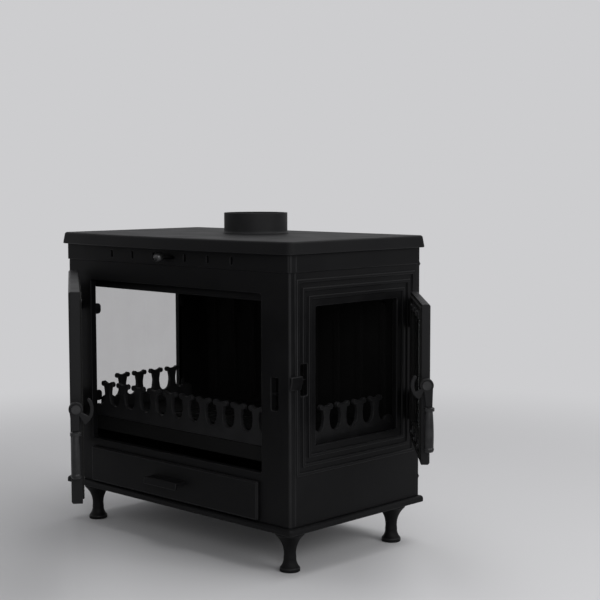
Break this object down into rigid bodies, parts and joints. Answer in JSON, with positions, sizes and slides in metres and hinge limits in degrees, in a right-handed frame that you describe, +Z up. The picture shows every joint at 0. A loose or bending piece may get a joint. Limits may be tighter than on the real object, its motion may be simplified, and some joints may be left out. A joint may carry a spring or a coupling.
{
  "type": "cast iron wood stove",
  "caption": "Free-standing cast iron wood stove with a glazed front door, a glazed side loading door, a fixed side window, a log fence and an ash drawer.",
  "frame": {"origin": "on the floor under the middle of the body", "axes": "+Z up, the front with the wide door faces -Y, the side loading door is on +X"},
  "size_m": [1.0296, 0.8597, 0.7531],
  "materials": {
    "cast_iron": "matt heat-proof black",
    "steel": "satin blackened steel",
    "glass": "clear ceramic glass",
    "rope": "braided glass-fibre rope"
  },
  "bodies": {
    "stove": {"leg_front_left": "cast_iron", "leg_front_right": "cast_iron", "leg_rear_left": "cast_iron", "leg_rear_right": "cast_iron", "base_plate": "cast_iron", "front_frame": "cast_iron", "left_side_panel": "cast_iron", "right_side_panel": "cast_iron", "back_panel": "cast_iron", "top_plate": "cast_iron", "flue_collar": "cast_iron", "hearth_plate": "cast_iron", "grate": "cast_iron", "fireback": "cast_iron", "baffle_plate": "cast_iron", "front_fence": "cast_iron", "left_fence": "cast_iron", "right_fence": "cast_iron", "left_window_glass": "glass", "left_window_clips": "steel", "air_guides": "steel", "drawer_runners": "steel", "front_hinge_pins": "steel", "side_hinge_pins": "steel"},
    "front_door": {"front_door_frame": "cast_iron", "front_door_glass": "glass", "front_glass_tape": "rope", "front_glass_clips": "steel", "front_door_gasket": "rope", "front_latch_pivot": "steel"},
    "front_handle": {"front_latch": "cast_iron", "front_grip": "steel"},
    "side_door": {"side_door_frame": "cast_iron", "side_door_glass": "glass", "side_glass_tape": "rope", "side_glass_clips": "steel", "side_door_gasket": "rope", "side_latch_pivot": "steel"},
    "side_handle": {"side_latch": "cast_iron", "side_grip": "steel"},
    "air_control": {"air_slider": "steel", "air_knob": "steel"},
    "ash_drawer": {"ash_pan": "steel", "ash_drawer_front": "cast_iron", "ash_drawer_pull": "cast_iron"}
  },
  "joints": [
    {"name": "front_door_hinge", "type": "hinge", "parent": "stove", "child": "front_door", "pos_m": [-0.338, -0.226, 0.4], "axis": [0, 0, 1], "range_deg": [-73.5, 36.5]},
    {"name": "front_handle_turn", "type": "hinge", "parent": "front_door", "child": "front_handle", "pos_m": [0.19255, -0.61858, 0.39], "axis": [-0.8039, 0.5948, 0], "range_deg": [0, 70]},
    {"name": "side_door_hinge", "type": "hinge", "parent": "stove", "child": "side_door", "pos_m": [0.388, 0.176, 0.4], "axis": [0, 0, 1], "range_deg": [-43.5, 66.5]},
    {"name": "side_handle_turn", "type": "hinge", "parent": "side_door", "child": "side_handle", "pos_m": [0.62204, -0.07063, 0.42], "axis": [0.6884, -0.7254, 0], "range_deg": [0, 70]},
    {"name": "air_slide", "type": "slide", "parent": "stove", "child": "air_control", "axis": [1, 0, 0], "range_m": [0, 0.032]},
    {"name": "ash_drawer_slide", "type": "slide", "parent": "stove", "child": "ash_drawer", "axis": [0, -1, 0], "range_m": [0, 0.26]}
  ]
}
